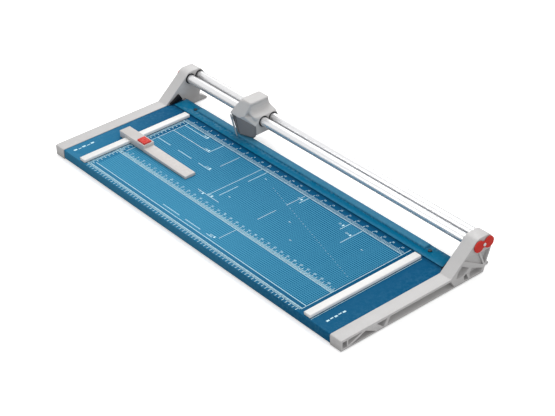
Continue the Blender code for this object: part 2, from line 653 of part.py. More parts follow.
def blade_cover():
    """The dark nose in front of the blade, narrow below, with room for the press roller."""
    nose = hull("blade_cover", [head_point(-33.5, 311.8, 72.6), head_point(-4, 311.5, 72.6),
                                head_point(-4, 326.4, 72.6), head_point(-33.5, 326.4, 72.6),
                                head_point(32.5, 325, 60.5), head_point(32.5, 326.4, 60.5),
                                head_point(32.5, 326.4, 39.5), head_point(25, 320.2, 33), head_point(27, 326.4, 33),
                                head_point(-4, 311.5, 33), head_point(-15, 311.8, 33), head_point(-16, 326.4, 33),
                                head_point(-30, 326.4, 45)])
    room = box("roller_room", (head_x + roller_x - roller_radius - 0.9 * mm, roller_front - 0.7 * mm, 30 * mm),
               (head_x + roller_x + roller_radius + 0.9 * mm, roller_back + 0.7 * mm,
                roller_centre + roller_radius + 0.9 * mm))
    hub_room = rod("hub_room", (head_x, 323.6 * mm, blade_height), (head_x, 330 * mm, blade_height), 8.2 * mm, 24)
    slot = extrusion("nose_slot", [scaled([(-22.6, 74), (-19.6, 74), (-7.6, 31), (-10.6, 31)])], 8 * mm,
                     (head_x, 311.5 * mm, 0), along_y)
    pin_hole = rod("roller_pin_hole", (head_x + roller_x, 315 * mm, roller_centre),
                   (head_x + roller_x, 328 * mm, roller_centre), 1.8 * mm, 16)
    screw_hole = rod("cover_hole", (head_x + cover_screw_x, 305 * mm, cover_screw_z),
                     (head_x + cover_screw_x, 330 * mm, cover_screw_z), 1.9 * mm, 12)
    for tool in (room, hub_room, pin_hole, screw_hole, slot):
        cut(nose, as_cutter(tool))
    return finish(nose, "cover_grey")


def blade_guard():
    """A thin plate that leans in front of the nose and ends just above the strip."""
    outline = scaled([(-33.4, 72.5), (-23.6, 72.5), (-22.4, 65.5), (-24.0, 62.5), (-13.6, 33.0), (-11.2, 26.6),
                      (-15.0, 26.6), (-17.4, 31.0), (-31.6, 66.5)])
    guard = extrusion("blade_guard", [outline], guard_thickness, (head_x, guard_y, 0), along_y)
    spacer = rod("guard_spacer", (head_x + cover_screw_x, guard_y, cover_screw_z),
                 (head_x + cover_screw_x, head_front - gap, cover_screw_z), 3.0 * mm, 20)
    cut(guard, as_cutter(spacer), operation="UNION")
    screw_hole = rod("guard_hole", (head_x + cover_screw_x, 305 * mm, cover_screw_z),
                     (head_x + cover_screw_x, 313 * mm, cover_screw_z), 1.8 * mm, 12)
    cut(guard, as_cutter(screw_hole))
    return finish(guard, "zinc_steel")


def head_bush(name, side, y):
    """A plain sliding bush at one end of a rail bore in the head."""
    inner = rail_radius + 0.05 * mm
    profile = [(bush_radius, 0), (bush_radius, -16 * mm), (inner, -16 * mm), (inner, 0)]
    bush = turned(name, profile, (head_x + side * (head_half - 0.4 * mm), y, rail_height), (side, 0, 0), 40,
                  closed=True)
    return finish(bush, "black_plastic")


def blade_assembly():
    """The disc blade between its hub and retainer, on a fixed axle."""
    front_face = cut_line + gap
    centre = (head_x, front_face + blade_thickness, blade_height)
    t = blade_thickness
    disc = turned("rotary_blade", [(6.4 * mm, t), (blade_radius - 2.5 * mm, t), (blade_radius, 0.15 * mm),
                                   (blade_radius, 0), (6.4 * mm, 0)][::-1], centre, (0, -1, 0), 64, closed=True)
    flip_profile(disc)
    finish(disc, "ground_steel")
    hub = turned("blade_hub", [(6.1 * mm, 4.6 * mm), (6.1 * mm, -gap), (11 * mm, -gap), (11 * mm, -2.2 * mm),
                               (4.05 * mm, -2.2 * mm), (4.05 * mm, 4.6 * mm)], centre, (0, -1, 0), 32, closed=True)
    finish(hub, "zinc_steel")
    retainer = turned("blade_retainer", [(10.5 * mm, t + gap + 1.4 * mm), (10.5 * mm, t + gap), (6.3 * mm, t + gap),
                                         (6.3 * mm, t + gap + 1.4 * mm)], centre, (0, -1, 0), 32, closed=True)
    finish(retainer, "zinc_steel")
    washer = turned("spring_washer", [(7.5 * mm, 5.9 * mm), (7.5 * mm, 4.9 * mm), (4.3 * mm, 4.9 * mm),
                                      (4.3 * mm, 5.9 * mm)], centre, (0, -1, 0), 24, closed=True)
    finish(washer, "zinc_steel")
    axle = turned("blade_axle", [(0, 7.4 * mm), (6.5 * mm, 7.4 * mm), (6.5 * mm, 6.2 * mm), (4.0 * mm, 6.2 * mm),
                                 (4.0 * mm, -19 * mm), (0, -19 * mm)], centre, (0, -1, 0), 32)
    finish(axle, "zinc_steel")


def flip_profile(obj):
    """Turn a profile's edges round, so that it is turned with its faces outward."""
    corners = [vertex.co.copy() for vertex in obj.data.vertices]
    for vertex, corner in zip(obj.data.vertices, reversed(corners)):
        vertex.co = corner


def press_roller():
    middle = (head_x + roller_x, (roller_front + roller_back) / 2, roller_centre)
    half = (roller_back - roller_front) / 2
    profile = [(roller_radius - 0.6 * mm, half), (roller_radius, half - 0.6 * mm), (roller_radius, 0.6 * mm - half),
               (roller_radius - 0.6 * mm, -half), (1.7 * mm, -half), (1.7 * mm, half)]
    finish(turned("press_roller", profile, middle, (0, 1, 0), 32, closed=True), "rubber")
    pin = rod("press_roller_pin", (middle[0], 315.3 * mm, roller_centre), (middle[0], 326.2 * mm, roller_centre),
              1.6 * mm, 20)
    finish(pin, "zinc_steel")


def cover_screw():
    location = (head_x + cover_screw_x, cover_screw_y - gap, cover_screw_z)
    screw = turned("cover_screw", screw_profile(2.6 * mm, 1.4 * mm, 1.5 * mm, 26.4 * mm), location, (0, -1, 0), 16)
    slotted(screw, 2.6 * mm, 1.4 * mm, location, (0, -1, 0))
    return finish(screw, "zinc_steel")


# places of repeated pieces
stop_centre = cut_length / 2 + 1.0 * mm + stop_width / 2
foot_places = (24 * mm, 345 * mm)
table_screw_places = (40 * mm, 240 * mm)
stop_screw_places = (30 * mm, 260 * mm)
knife_screw_places = (-250 * mm, 250 * mm)
beam_screw_y = 315.6 * mm
beam_screw_z = 9.0 * mm
knife_screw_y = 322.4 * mm
cover_screw_x = -27.4 * mm
cover_screw_y = guard_y - guard_thickness / 2
cover_screw_z = 68.6 * mm
roller_x = -1.0 * mm

clear_scene()
parts = new_collection("rotary_paper_trimmer")
cutters = new_collection("cutters")
make_materials()
origin = bpy.data.objects.new("trimmer_origin", None)
parts.objects.link(origin)
origin.location = (0, -overall_depth / 2, foot_height)

for side_name, side in sides.items():
    end_frame(f"{side_name}_end_frame", side)
    end_cap(f"{side_name}_end_cap", side)
    cap_screw(f"{side_name}_cap_screw", side)
    clamp_guide(f"{side_name}_clamp_guide", side)
    clamp_post(f"{side_name}_clamp_post", side)
    coil(f"{side_name}_clamp_spring", (side * post_x, post_y), knife_bottom, strip_bottom - gap, 3.6 * mm, 0.45 * mm, 4)
    beam_screw(f"{side_name}_beam_screw", side)
    stop_bar(f"{side_name}_stop_bar", side)
    for label, y in rails.items():
        rail_bush(f"{side_name}_{label}_rail_bush", side, y)
        head_bush(f"head_{side_name}_{label}_bush", side, y)
    for label, y in zip(("front", "rear"), foot_places):
        foot(f"{side_name}_{label}_foot", side, y)
    for label, y in zip(("front", "rear"), table_screw_places):
        seat = sheet_under - 2 * gap - ledge_thickness
        upward_screw(f"{side_name}_{label}_table_screw", side * (inner_face - ledge_width / 2), y, seat, 4.4 * mm, 2.8 * mm)
    for label, y in zip(("front", "rear"), stop_screw_places):
        upward_screw(f"{side_name}_{label}_stop_screw", side * stop_centre, y, sheet_under - gap, 6.5 * mm)

for label, y in rails.items():
    rail(f"{label}_rail", y)
table_sheet()
knife_bar()
rear_beam()
for number, x in enumerate(knife_screw_places, 1):
    upward_screw(f"knife_screw_{number}", x, knife_screw_y, knife_bottom - 2 * gap - beam_wall, 7.0 * mm, 2.8 * mm)
clamp_strip()
backstop_body()
backstop_button()
lock_shoe()
coil("button_spring", (button_x + 4 * mm, backstop_y), table_top + 2.4 * mm, backstop_top - 4.8 * mm, 3.2 * mm,
     0.4 * mm, 4)
head_housing()
blade_cover()
blade_guard()
blade_assembly()
press_roller()
cover_screw()
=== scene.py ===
import json
import math

import bmesh
import bpy
from mathutils import Matrix, Vector


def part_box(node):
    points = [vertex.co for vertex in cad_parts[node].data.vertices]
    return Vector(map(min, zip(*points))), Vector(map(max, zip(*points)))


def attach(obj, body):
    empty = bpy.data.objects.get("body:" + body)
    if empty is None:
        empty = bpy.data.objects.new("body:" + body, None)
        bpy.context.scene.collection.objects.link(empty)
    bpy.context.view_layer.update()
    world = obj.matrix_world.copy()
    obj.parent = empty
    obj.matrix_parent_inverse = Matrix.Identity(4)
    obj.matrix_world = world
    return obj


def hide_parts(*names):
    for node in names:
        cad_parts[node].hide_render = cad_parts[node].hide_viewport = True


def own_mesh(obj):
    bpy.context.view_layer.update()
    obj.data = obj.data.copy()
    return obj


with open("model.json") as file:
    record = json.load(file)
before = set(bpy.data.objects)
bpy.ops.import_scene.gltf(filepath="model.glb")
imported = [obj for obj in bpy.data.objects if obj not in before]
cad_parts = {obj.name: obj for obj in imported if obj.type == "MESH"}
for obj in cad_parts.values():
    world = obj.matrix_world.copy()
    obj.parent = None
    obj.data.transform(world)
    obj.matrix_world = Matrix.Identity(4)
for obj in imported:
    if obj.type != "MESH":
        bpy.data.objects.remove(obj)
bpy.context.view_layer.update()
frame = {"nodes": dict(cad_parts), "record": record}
cadNodes = frame["nodes"]
mm = 0.001

# the view and the light
cameraValues = {"place": (2.1783, -1.65895, 1.8024), "azimuth": 52.018, "elevation": 33.419,
                "roll": -2.836, "lens": 103.52, "sensor": 36.0, "clip": 0.05}
lightValues = {"sky": (1.0, 1.0, 1.0), "skyStrength": 0.42, "skyInGloss": 1.0}
lamps = {
    "keyLamp": {"place": (-0.9, 0.75, 2.5), "size": 1.3, "power": 27.0},
    "backLamp": {"place": (-1.9, 1.7, 1.6), "size": 1.6, "power": 12.0},
    "fillLamp": {"place": (0.9, 1.4, 2.2), "size": 1.6, "power": 10.0},
    "sideLamp": {"place": (2.4, -0.5, 1.0), "size": 1.4, "power": 15.0},
    "frontLamp": {"place": (-0.8, -2.2, 1.3), "size": 1.6, "power": 12.0},
}


def makeCamera():
    v = cameraValues
    azimuth, elevation, roll = (math.radians(v[k]) for k in ("azimuth", "elevation", "roll"))
    back = Vector((math.sin(azimuth) * math.cos(elevation), -math.cos(azimuth) * math.cos(elevation),
                   math.sin(elevation)))
    right = Vector((math.cos(azimuth), math.sin(azimuth), 0))
    up = back.cross(right)
    across = math.cos(roll) * right + math.sin(roll) * up
    above = -math.sin(roll) * right + math.cos(roll) * up
    turn = Matrix((across, above, back)).transposed().to_4x4()
    bpy.ops.object.camera_add()
    camera = bpy.context.object
    camera.name = "viewCamera"
    camera.data.lens = v["lens"]
    camera.data.sensor_width = v["sensor"]
    camera.data.clip_start = v["clip"]
    camera.matrix_world = Matrix.Translation(v["place"]) @ turn
    bpy.context.scene.camera = camera


def makeLight():
    scene = bpy.context.scene
    scene.view_settings.view_transform = "Standard"
    world = bpy.data.worlds.new("studioSky")
    world.use_nodes = True
    sky = world.node_tree.nodes["Background"]
    sky.inputs["Color"].default_value = (*lightValues["sky"], 1)
    ray = world.node_tree.nodes.new("ShaderNodeLightPath")
    strength = world.node_tree.nodes.new("ShaderNodeMapRange")
    strength.inputs["To Min"].default_value = lightValues["skyStrength"]
    strength.inputs["To Max"].default_value = lightValues["skyInGloss"]
    world.node_tree.links.new(ray.outputs["Is Glossy Ray"], strength.inputs["Value"])
    world.node_tree.links.new(strength.outputs["Result"], sky.inputs["Strength"])
    scene.world = world
    for name, v in lamps.items():
        bpy.ops.object.light_add(type="AREA", location=v["place"])
        lamp = bpy.context.object
        lamp.name = name
        lamp.data.shape = "DISK"
        lamp.data.size = v["size"]
        lamp.data.energy = v["power"]
        lamp.rotation_euler = (-Vector(v["place"])).to_track_quat("-Z", "Y").to_euler()


# finishes
def newGroup(name, inputs, outputs):
    group = bpy.data.node_groups.new(name, "ShaderNodeTree")
    for label, kind, value in inputs:
        socket = group.interface.new_socket(name=label, in_out="INPUT", socket_type=kind)
        socket.default_value = value
    for label, kind in outputs:
        group.interface.new_socket(name=label, in_out="OUTPUT", socket_type=kind)
    return group, group.nodes.new("NodeGroupInput"), group.nodes.new("NodeGroupOutput")


def addNode(tree, kind, **values):
    node = tree.nodes.new(kind)
    for key, value in values.items():
        if hasattr(node, key):
            setattr(node, key, value)
        else:
            node.inputs[key.replace("_", " ")].default_value = value
    return node


def addMath(tree, operation, first, second=None, clamp=False):
    node = tree.nodes.new("ShaderNodeMath")
    node.operation = operation
    node.use_clamp = clamp
    for socket, value in zip(node.inputs, (first, second)):
        if value is None:
            continue
        if isinstance(value, (int, float)):
            socket.default_value = value
        else:
            tree.links.new(value, socket)
    return node.outputs[0]


def addMix(tree, factor, first, second):
    node = tree.nodes.new("ShaderNodeMix")
    node.data_type = "RGBA"
    for index, value in ((0, factor), (6, first), (7, second)):
        if isinstance(value, (int, float)):
            node.inputs[index].default_value = value
        elif isinstance(value, tuple):
            node.inputs[index].default_value = (*value, 1)
        else:
            tree.links.new(value, node.inputs[index])
    return node.outputs[2]


grainValues = {"fineDetail": 4.0, "fineRoughness": 0.6, "broadDetail": 3.0, "broadRoughness": 0.55,
               "broadShare": 0.02}


def makeGrainGroup():
    v = grainValues
    group, start, end = newGroup("surfaceGrain",
                                 [("Scale", "NodeSocketFloat", 900.0),
                                  ("Stretch", "NodeSocketVector", (1, 1, 1))],
                                 [("Height", "NodeSocketFloat"), ("Tone", "NodeSocketFloat")])
    where = group.nodes.new("ShaderNodeTexCoord")
    mapped = group.nodes.new("ShaderNodeMapping")
    fine = addNode(group, "ShaderNodeTexNoise", Detail=v["fineDetail"], Roughness=v["fineRoughness"])
    broad = addNode(group, "ShaderNodeTexNoise", Detail=v["broadDetail"], Roughness=v["broadRoughness"])
    group.links.new(where.outputs["Object"], mapped.inputs["Vector"])
    group.links.new(start.outputs["Stretch"], mapped.inputs["Scale"])
    group.links.new(mapped.outputs["Vector"], fine.inputs["Vector"])
    group.links.new(mapped.outputs["Vector"], broad.inputs["Vector"])
    group.links.new(start.outputs["Scale"], fine.inputs["Scale"])
    broadScale = addMath(group, "MULTIPLY", start.outputs["Scale"], v["broadShare"])
    group.links.new(broadScale, broad.inputs["Scale"])
    group.links.new(fine.outputs["Fac"], end.inputs["Height"])
    group.links.new(broad.outputs["Fac"], end.inputs["Tone"])
    return group


wearValues = {"patchScale": 140.0, "patchDetail": 4.0, "patchRoughness": 0.7, "patchStart": 0.42,
              "patchGain": 4.0, "edgeStart": 0.52, "edgeGain": 14.0}


def makeWearGroup():
    v = wearValues
    group, start, end = newGroup("edgeWear", [("Amount", "NodeSocketFloat", 0.5)],
                                 [("Mask", "NodeSocketFloat")])
    where = group.nodes.new("ShaderNodeTexCoord")
    shape = group.nodes.new("ShaderNodeNewGeometry")
    patches = addNode(group, "ShaderNodeTexNoise", Scale=v["patchScale"], Detail=v["patchDetail"],
                      Roughness=v["patchRoughness"])
    group.links.new(where.outputs["Object"], patches.inputs["Vector"])
    edge = addMath(group, "SUBTRACT", shape.outputs["Pointiness"], v["edgeStart"])
    edge = addMath(group, "MULTIPLY", edge, v["edgeGain"], True)
    broken = addMath(group, "SUBTRACT", patches.outputs["Fac"], v["patchStart"])
    broken = addMath(group, "MULTIPLY", broken, v["patchGain"], True)
    worn = addMath(group, "MULTIPLY", edge, broken)
    group.links.new(addMath(group, "MULTIPLY", worn, start.outputs["Amount"], True), end.inputs["Mask"])
    return group


dustValues = {"scale": 18.0, "detail": 6.0, "roughness": 0.65, "levelPower": 4.0,
              "colour": (0.62, 0.60, 0.57), "roughens": 0.3}


def makeDustGroup():
    v = dustValues
    group, start, end = newGroup("settledDust", [("Amount", "NodeSocketFloat", 0.1)],
                                 [("Mask", "NodeSocketFloat")])
    where = group.nodes.new("ShaderNodeTexCoord")
    shape = group.nodes.new("ShaderNodeNewGeometry")
    split = group.nodes.new("ShaderNodeSeparateXYZ")
    clouds = addNode(group, "ShaderNodeTexNoise", Scale=v["scale"], Detail=v["detail"],
                     Roughness=v["roughness"])
    group.links.new(where.outputs["Object"], clouds.inputs["Vector"])
    group.links.new(shape.outputs["Normal"], split.inputs[0])
    level = addMath(group, "POWER", addMath(group, "MAXIMUM", split.outputs["Z"], 0.0), v["levelPower"])
    soft = addMath(group, "MULTIPLY", level, clouds.outputs["Fac"])
    group.links.new(addMath(group, "MULTIPLY", soft, start.outputs["Amount"], True), end.inputs["Mask"])
    return group


creviceValues = {"samples": 8, "power": 1.4}


def makeCreviceGroup():
    # painted shade: the colour is darkened where pockets and inner corners are closed in
    group, start, end = newGroup("creviceShade",
                                 [("Reach", "NodeSocketFloat", 0.02), ("Amount", "NodeSocketFloat", 0.5)],
                                 [("Mask", "NodeSocketFloat")])
    near = addNode(group, "ShaderNodeAmbientOcclusion", samples=creviceValues["samples"])
    group.links.new(start.outputs["Reach"], near.inputs["Distance"])
    closed = addMath(group, "SUBTRACT", 1.0, near.outputs["AO"], True)
    paintedShade = addMath(group, "POWER", closed, creviceValues["power"])
    group.links.new(addMath(group, "MULTIPLY", paintedShade, start.outputs["Amount"], True), end.inputs["Mask"])
    return group


# spread is how far the roughness wanders, depth the bump's strength, reach how far a corner's painted shade
# goes
# what a finish has unless it says otherwise
plainFinish = {"stretch": (1, 1, 1), "reach": 8 * mm, "crevice": 0.3, "paintedShade": (0.03, 0.03, 0.032),
               "metallic": 0.0, "specular": 0.5, "alpha": 1.0, "bumpDistance": 0.4 * mm}
finishes = {
    "castGrey": {"colour": (0.60, 0.592, 0.59), "shade": (0.55, 0.542, 0.54),
                 "worn": (0.76, 0.75, 0.745), "roughness": 0.46, "spread": 0.10, "grain": 1500.0,
                 "depth": 0.12, "wear": 0.55, "dust": 0.08, "reach": 16 * mm, "crevice": 0.45},
    "headGrey": {"colour": (0.60, 0.590, 0.585), "shade": (0.54, 0.530, 0.525),
                 "worn": (0.72, 0.72, 0.72), "roughness": 0.50, "spread": 0.08, "grain": 2200.0,
                 "depth": 0.16, "wear": 0.45, "dust": 0.05, "reach": 16 * mm, "crevice": 0.85},
    # painted shade: the nose is the head's grey plastic, painted darker for the shade it sits in
    "noseGreyPaintedShade": {"colour": (0.22, 0.212, 0.214), "shade": (0.19, 0.182, 0.184),
                 "worn": (0.42, 0.41, 0.41), "roughness": 0.50, "spread": 0.08, "grain": 2200.0,
                 "depth": 0.16, "wear": 0.45, "dust": 0.04, "reach": 12 * mm, "crevice": 0.7},
    "stopWhite": {"colour": (0.88, 0.88, 0.87), "shade": (0.82, 0.82, 0.81), "worn": (0.93, 0.93, 0.92),
                  "roughness": 0.42, "spread": 0.08, "grain": 2400.0, "depth": 0.08, "wear": 0.20,
                  "dust": 0.04, "reach": 6 * mm, "crevice": 0.45, "paintedShade": (0.20, 0.16, 0.15)},
    "backstopGrey": {"colour": (0.59, 0.565, 0.55), "shade": (0.54, 0.515, 0.50),
                     "worn": (0.80, 0.78, 0.76), "roughness": 0.42, "spread": 0.08, "grain": 2400.0,
                     "depth": 0.10, "wear": 0.35, "dust": 0.04, "reach": 6 * mm, "crevice": 0.5,
                     "paintedShade": (0.12, 0.11, 0.10)},
    "signalRed": {"colour": (0.70, 0.045, 0.034), "shade": (0.62, 0.036, 0.028),
                  "worn": (0.92, 0.36, 0.30), "roughness": 0.40, "spread": 0.08, "grain": 2400.0,
                  "depth": 0.08, "wear": 0.40, "dust": 0.0, "reach": 3 * mm, "crevice": 0.5,
                  "paintedShade": (0.16, 0.01, 0.01), "specular": 0.15},
    "blackAcetal": {"colour": (0.008, 0.009, 0.013), "shade": (0.005, 0.006, 0.008),
                    "worn": (0.06, 0.06, 0.07), "roughness": 0.56, "spread": 0.10, "grain": 2400.0,
                    "depth": 0.08, "wear": 0.30, "dust": 0.0, "specular": 0.1},
    "footRubber": {"colour": (0.03, 0.03, 0.032), "shade": (0.02, 0.02, 0.02),
                   "worn": (0.09, 0.09, 0.09), "roughness": 0.82, "spread": 0.08, "grain": 1200.0,
                   "depth": 0.30, "wear": 0.30, "dust": 0.20},
    "railChrome": {"colour": (0.86, 0.86, 0.87), "shade": (0.80, 0.80, 0.81),
                   "worn": (0.88, 0.88, 0.88), "roughness": 0.26, "spread": 0.06, "grain": 700.0,
                   "depth": 0.02, "wear": 0.0, "dust": 0.0, "metallic": 0.72, "stretch": (0.05, 1, 1),
                   "reach": 5 * mm, "crevice": 0.7},
    "groundSteel": {"colour": (0.56, 0.57, 0.59), "shade": (0.46, 0.47, 0.49),
                    "worn": (0.75, 0.75, 0.76), "roughness": 0.26, "spread": 0.10, "grain": 900.0,
                    "depth": 0.06, "wear": 0.3, "dust": 0.0, "metallic": 1.0, "stretch": (0.06, 1, 1)},
    "zincSteel": {"colour": (0.48, 0.49, 0.50), "shade": (0.38, 0.39, 0.42), "worn": (0.62, 0.62, 0.62),
                  "roughness": 0.36, "spread": 0.12, "grain": 1100.0, "depth": 0.05, "wear": 0.3,
                  "dust": 0.0, "metallic": 1.0},
    "blackSteel": {"colour": (0.035, 0.045, 0.055), "shade": (0.02, 0.025, 0.03),
                   "worn": (0.12, 0.12, 0.12), "roughness": 0.40, "spread": 0.12, "grain": 1100.0,
                   "depth": 0.05, "wear": 0.4, "dust": 0.0, "metallic": 0.6},
    "guardSteel": {"colour": (0.42, 0.46, 0.48), "shade": (0.34, 0.37, 0.39),
                   "worn": (0.60, 0.63, 0.64), "roughness": 0.46, "spread": 0.12, "grain": 1100.0,
                   "depth": 0.05, "wear": 0.6, "dust": 0.0, "metallic": 0.3, "reach": 3 * mm,
                   "crevice": 0.8},
    "tableBlue": {"colour": (0.0, 0.092, 0.215), "shade": (0.0, 0.084, 0.198),
                  "worn": (0.10, 0.28, 0.42), "roughness": 0.50, "spread": 0.06, "grain": 1300.0,
                  "depth": 0.06, "wear": 0.45, "dust": 0.0, "reach": 7 * mm, "crevice": 0.6,
                  "paintedShade": (0.0, 0.02, 0.05), "specular": 0.03},
    "printWhite": {"colour": (0.60, 0.86, 0.94), "shade": (0.54, 0.82, 0.91), "worn": (0.3, 0.5, 0.6),
                   "roughness": 0.45, "spread": 0.06, "grain": 1800.0, "depth": 0.02, "wear": 0.0,
                   "dust": 0.0, "crevice": 0.0},
    "clearBlue": {"colour": (0.0, 0.20, 0.38), "shade": (0.0, 0.18, 0.35), "worn": (0.25, 0.46, 0.60),
                  "roughness": 0.30, "spread": 0.08, "grain": 900.0, "depth": 0.02, "wear": 0.5,
                  "dust": 0.0, "alpha": 0.72, "crevice": 0.0, "specular": 0.06},
}
finishOfSlot = {"frame_grey": "castGrey", "table_blue": "tableBlue", "ground_steel": "groundSteel",
                "zinc_steel": "zincSteel", "rail_chrome": "railChrome", "stop_white": "stopWhite",
                "backstop_grey": "backstopGrey", "signal_red": "signalRed", "clear_blue": "clearBlue",
                "head_grey": "headGrey", "cover_grey": "noseGreyPaintedShade", "black_plastic": "blackAcetal",
                "rubber": "footRubber"}
materials = {}


def makeMaterial(name, grainGroup, wearGroup, dustGroup, creviceGroup):
    v = {**plainFinish, **finishes[name]}
    material = bpy.data.materials.new(name)
    material.use_nodes = True
    tree = material.node_tree
    shader = tree.nodes["Principled BSDF"]
    grain = addNode(tree, "ShaderNodeGroup", node_tree=grainGroup)
    grain.inputs["Scale"].default_value = v["grain"]
    grain.inputs["Stretch"].default_value = v["stretch"]
    wear = addNode(tree, "ShaderNodeGroup", node_tree=wearGroup)
    wear.inputs["Amount"].default_value = v["wear"]
    dust = addNode(tree, "ShaderNodeGroup", node_tree=dustGroup)
    dust.inputs["Amount"].default_value = v["dust"]
    crevice = addNode(tree, "ShaderNodeGroup", node_tree=creviceGroup)
    crevice.inputs["Reach"].default_value = v["reach"]
    crevice.inputs["Amount"].default_value = v["crevice"]
    colour = addMix(tree, grain.outputs["Tone"], v["colour"], v["shade"])
    if name == "tableBlue":
        # painted reflection: the blue is lightened towards the operator
        colour = addMix(tree, addFade(tree), colour, tableLightAndShade["light"])
        # painted shade: the blue is darkened beside the cut, under the strip
        colour = addMix(tree, addShadeByKnife(tree), colour, tableLightAndShade["paintedShade"])
        colour = addMix(tree, addGrid(tree), colour, gridValues["colour"])
    if name == "clearBlue":
        # painted highlight on the raised rib
        colour = addMix(tree, addRibTone(tree), colour, stripValues["rib"])
    colour = addMix(tree, wear.outputs["Mask"], colour, v["worn"])
    colour = addMix(tree, dust.outputs["Mask"], colour, dustValues["colour"])
    # painted shade, darkest in pockets and inner corners
    colour = addMix(tree, crevice.outputs["Mask"], colour, v["paintedShade"])
    tree.links.new(colour, shader.inputs["Base Color"])
    low = v["roughness"] - v["spread"] / 2
    rough = addMath(tree, "ADD", addMath(tree, "MULTIPLY", grain.outputs["Tone"], v["spread"]), low)
    dustRough = addMath(tree, "MULTIPLY", dust.outputs["Mask"], dustValues["roughens"])
    rough = addMath(tree, "ADD", rough, dustRough, True)
    tree.links.new(rough, shader.inputs["Roughness"])
    bump = addNode(tree, "ShaderNodeBump", Strength=v["depth"], Distance=v["bumpDistance"])
    tree.links.new(grain.outputs["Height"], bump.inputs["Height"])
    tree.links.new(bump.outputs["Normal"], shader.inputs["Normal"])
    shader.inputs["Metallic"].default_value = v["metallic"]
    shader.inputs["Specular IOR Level"].default_value = v["specular"]
    shader.inputs["Alpha"].default_value = v["alpha"]
    materials[name] = material


gridValues = {"pitch": 5.0 * mm, "width": 0.14, "colour": (0.08, 0.37, 0.57), "strength": 0.85,
              "along": (20 * mm, 704 * mm), "out": (66 * mm, 306 * mm)}
# painted reflection: the lighter colour, its strength and the spans over which the table is lightened
tableLightAndShade = {"light": (0.035, 0.225, 0.400), "lightAmount": 0.80, "lightAcross": (90 * mm, -190 * mm),
                "lightAlong": (420 * mm, -60 * mm), "alongShare": 0.8,
                # painted shade beside the cut: its colour, strength and span
                "paintedShade": (0.0, 0.045, 0.115), "knifeShadeAmount": 0.7, "knifeShadeAcross": (85 * mm, 96 * mm)}
# painted highlight of the raised rib: its colour, strength, and the heights below its top where it fades in
stripValues = {"rib": (0.08, 0.33, 0.52), "ribAmount": 0.8, "ribRise": (5 * mm, 1 * mm)}


def addRamp(tree, value, start, end):
    # 0 at start, 1 at end, smooth between them
    node = tree.nodes.new("ShaderNodeMapRange")
    node.interpolation_type = "SMOOTHSTEP"
    tree.links.new(value, node.inputs["Value"])
    node.inputs["From Min"].default_value = start
    node.inputs["From Max"].default_value = end
    return node.outputs["Result"]


def addPlace(tree):
    where = tree.nodes.new("ShaderNodeTexCoord")
    split = tree.nodes.new("ShaderNodeSeparateXYZ")
    tree.links.new(where.outputs["Object"], split.inputs[0])
    return split.outputs


def addFade(tree):
    # painted reflection: the table's blue grows lighter towards the operator and to the left
    v = tableLightAndShade
    place = addPlace(tree)
    toward = addRamp(tree, place["Y"], *v["lightAcross"])
    along = addRamp(tree, place["X"], *v["lightAlong"])
    along = addMath(tree, "ADD", addMath(tree, "MULTIPLY", along, v["alongShare"]), 1 - v["alongShare"])
    return addMath(tree, "MULTIPLY", addMath(tree, "MULTIPLY", toward, along), v["lightAmount"])


def addShadeByKnife(tree):
    # painted shade: the table is darkest under the strip, beside the cut
    near = addRamp(tree, addPlace(tree)["Y"], *tableLightAndShade["knifeShadeAcross"])
    return addMath(tree, "MULTIPLY", near, tableLightAndShade["knifeShadeAmount"])


def addRibTone(tree):
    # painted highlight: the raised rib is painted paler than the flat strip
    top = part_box("clamp_strip")[1].z
    start, end = (top - below for below in stripValues["ribRise"])
    rise = addRamp(tree, addPlace(tree)["Z"], start, end)
    return addMath(tree, "MULTIPLY", rise, stripValues["ribAmount"])


def addGrid(tree):
    # fine lines every few millimetres over the printed field only
    v, field, place = gridValues, printField(), addPlace(tree)
    crossing = None
    for axis, origin in (("X", field["left"]), ("Y", field["cut"])):
        steps = addMath(tree, "DIVIDE", addMath(tree, "SUBTRACT", place[axis], origin), v["pitch"])
        line = addMath(tree, "LESS_THAN", addMath(tree, "PINGPONG", steps, 0.5), v["width"])
        crossing = addMath(tree, "MAXIMUM", crossing, line) if crossing else line
    limits = {"X": [field["left"] + side for side in v["along"]],
              "Y": [field["cut"] - side for side in reversed(v["out"])]}
    for axis, sides in limits.items():
        for test, side in zip(("GREATER_THAN", "LESS_THAN"), sides):
            crossing = addMath(tree, "MULTIPLY", crossing, addMath(tree, test, place[axis], side))
    return addMath(tree, "MULTIPLY", crossing, v["strength"])


def printField():
    # zero of the printed rule: the left stop's inner side, the cutting edge and the sheet's top
    return {"left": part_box("left_stop_bar")[1].x, "cut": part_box("lower_knife")[1].y,
            "top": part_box("table_sheet")[1].z}


# helpers for modelling
copyValues = {"merge": 0.02 * mm, "flatAngle": 0.5}


def startAlone():
    if bpy.context.object and bpy.context.object.mode != "OBJECT":
        bpy.ops.object.mode_set(mode="OBJECT")
    bpy.ops.object.select_all(action="DESELECT")


def pick(obj):
    startAlone()
    bpy.context.view_layer.objects.active = obj
    obj.select_set(True)
    return obj


def selectFaces(obj, wanted):
    # goes into edit mode with only the faces that pass the test selected
    pick(obj)
    bpy.ops.object.mode_set(mode="EDIT")
    bpy.ops.mesh.select_mode(type="FACE")
    bpy.ops.mesh.select_all(action="DESELECT")
    work = bmesh.from_edit_mesh(obj.data)
    for face in work.faces:
        face.select_set(wanted(face.calc_center_median(), face.normal))
    bmesh.update_edit_mesh(obj.data)


def applyModifier(obj, kind, **values):
    pick(obj)
    modifier = obj.modifiers.new(kind.lower(), kind)
    for key, value in values.items():
        setattr(modifier, key, value)
    bpy.ops.object.modifier_apply(modifier=modifier.name)


